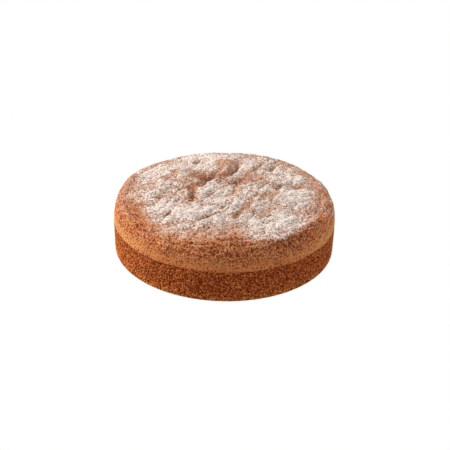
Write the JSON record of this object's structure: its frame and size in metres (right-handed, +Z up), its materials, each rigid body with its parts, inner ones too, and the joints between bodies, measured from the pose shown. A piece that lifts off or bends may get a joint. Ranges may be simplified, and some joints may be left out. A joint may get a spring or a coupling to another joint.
{
  "type": "vanilla sponge cake",
  "caption": "Whole round sponge cake with an upright side, a soft rounded shoulder and a low domed, creased top; stands on its flat base and is cut into slices to serve.",
  "frame": {"origin": "centre of the flat base, on the surface the cake stands on", "axes": "+Z up through the middle of the top; -Y towards the side that the picture shows in front, +X to its right"},
  "size_m": [0.2202, 0.2202, 0.0595],
  "materials": {
    "crust": "dull golden brown sponge crust, dusted with white icing sugar on top"
  },
  "bodies": {
    "root": {"cake": "crust"}
  },
  "joints": []
}
